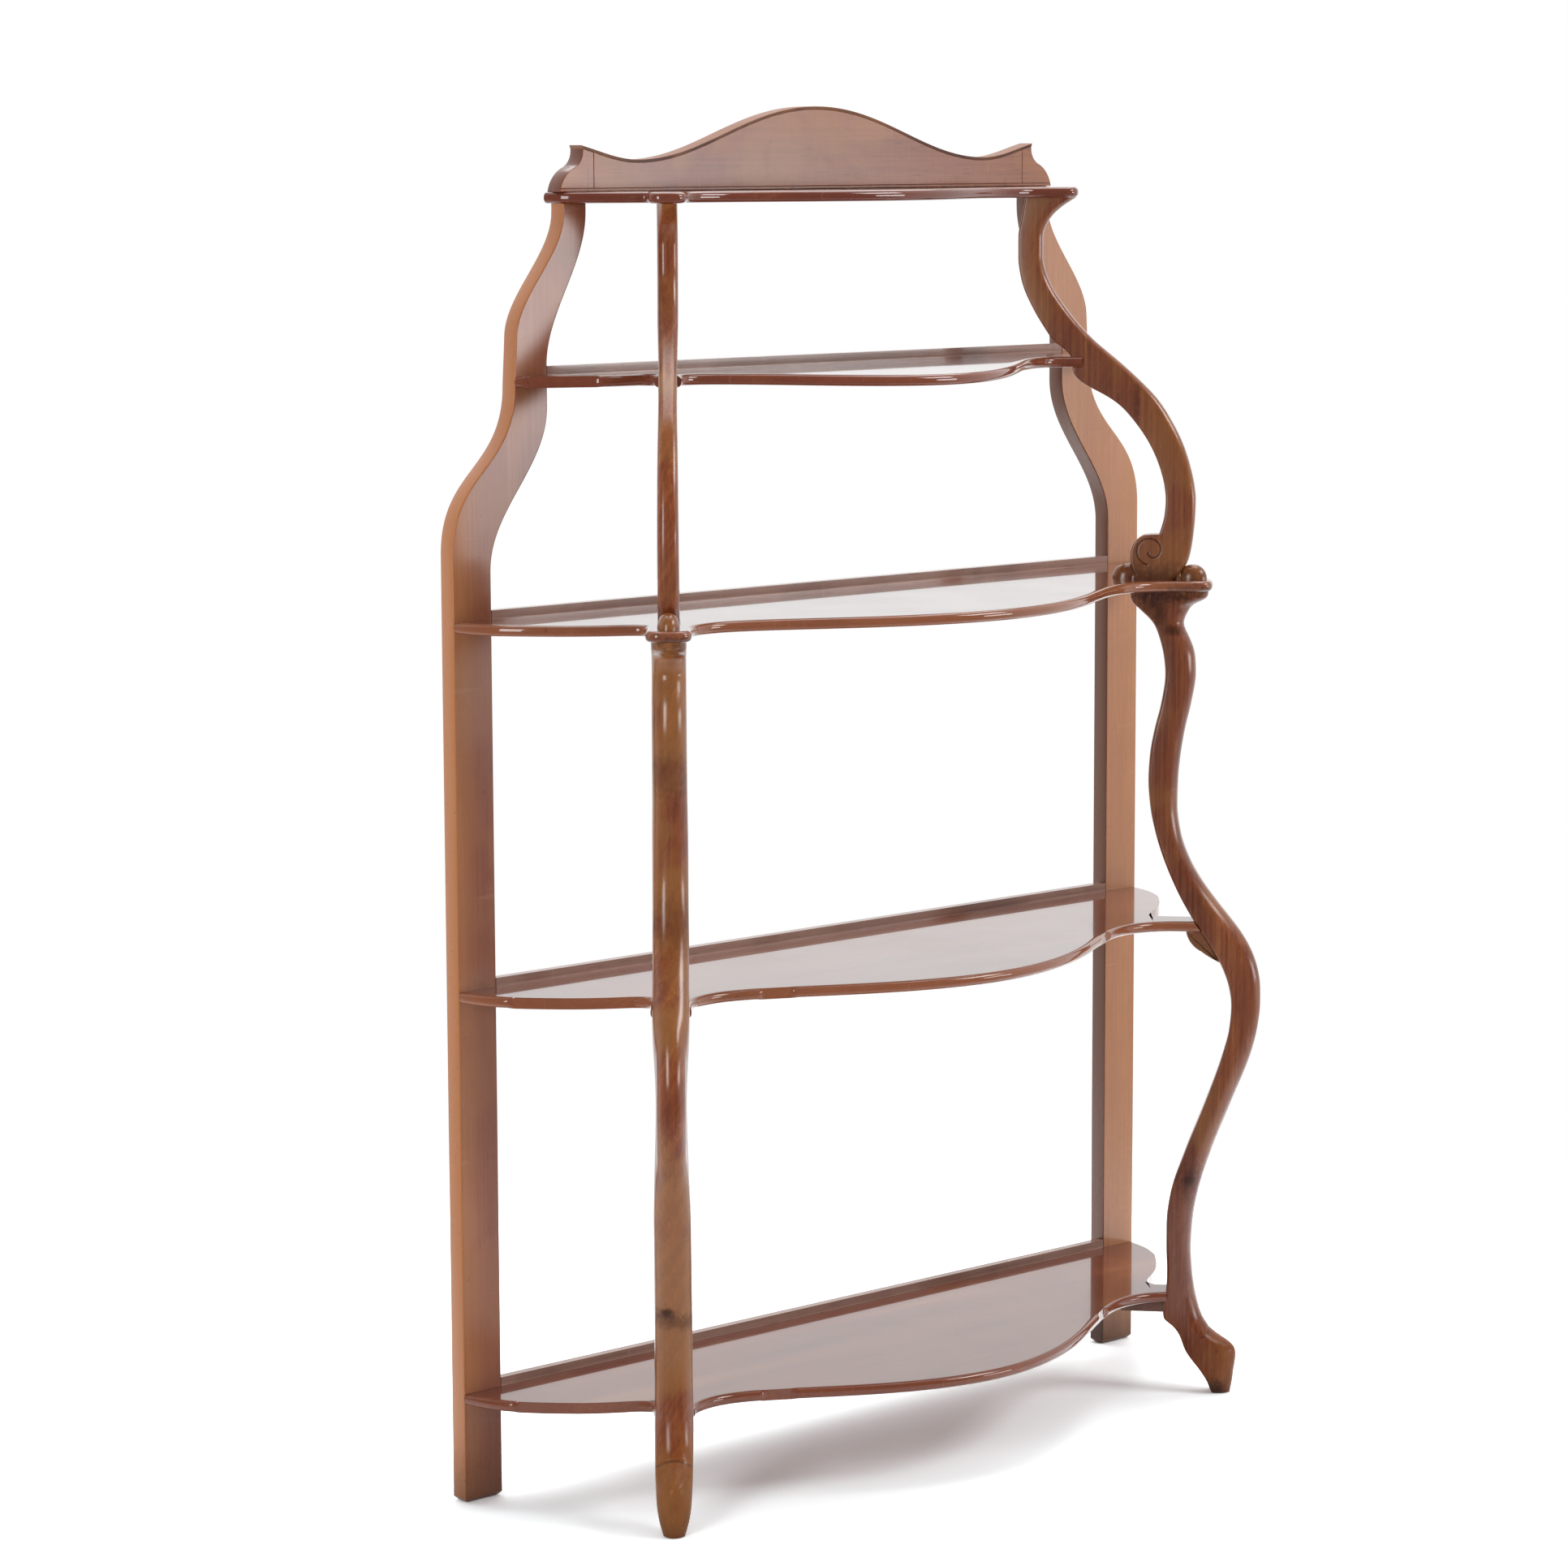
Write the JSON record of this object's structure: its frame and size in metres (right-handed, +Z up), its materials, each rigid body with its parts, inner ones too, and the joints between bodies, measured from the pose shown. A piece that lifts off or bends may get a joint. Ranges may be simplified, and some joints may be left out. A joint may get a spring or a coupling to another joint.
{
  "type": "etagere",
  "caption": "Tiered serpentine-front wooden etagere with shaped back uprights, scrolled front legs, low back rails and an arched crest.",
  "frame": {"origin": "on the floor, under the centre of the bounding box", "axes": "+Z up, -Y towards the serpentine front, +Y towards the flat back, +X to the right seen from the front"},
  "size_m": [1.1, 0.355, 1.6],
  "materials": {
    "mahogany_upright": "french polished",
    "mahogany_shelf": "high gloss french polish",
    "mahogany_rail": "french polished",
    "mahogany_crest": "french polished",
    "mahogany_leg": "french polished",
    "mahogany_block": "french polished",
    "tenon_wood": "bare",
    "nail_iron": "dull iron"
  },
  "bodies": {
    "root": {"back_upright_left": "mahogany_upright", "back_upright_right": "mahogany_upright", "shelf_bottom": "mahogany_shelf", "shelf_fourth": "mahogany_shelf", "shelf_third": "mahogany_shelf", "shelf_second": "mahogany_shelf", "shelf_top": "mahogany_shelf", "back_rail_bottom": "mahogany_rail", "back_rail_fourth": "mahogany_rail", "back_rail_third": "mahogany_rail", "back_rail_second": "mahogany_rail", "crest_panel": "mahogany_crest", "crest_end_left": "mahogany_crest", "crest_end_right": "mahogany_crest", "crest_base": "mahogany_crest", "crest_cap": "mahogany_crest", "lower_leg_left": "mahogany_leg", "lower_leg_right": "mahogany_leg", "upper_leg_left": "mahogany_leg", "upper_leg_right": "mahogany_leg", "bracket_block_left": "mahogany_block", "bracket_block_right": "mahogany_block", "bearer_block_left": "mahogany_block", "bearer_block_right": "mahogany_block", "loose_tenons": "tenon_wood", "upright_nails": "nail_iron", "block_nails": "nail_iron", "crest_nails": "nail_iron"}
  },
  "joints": []
}
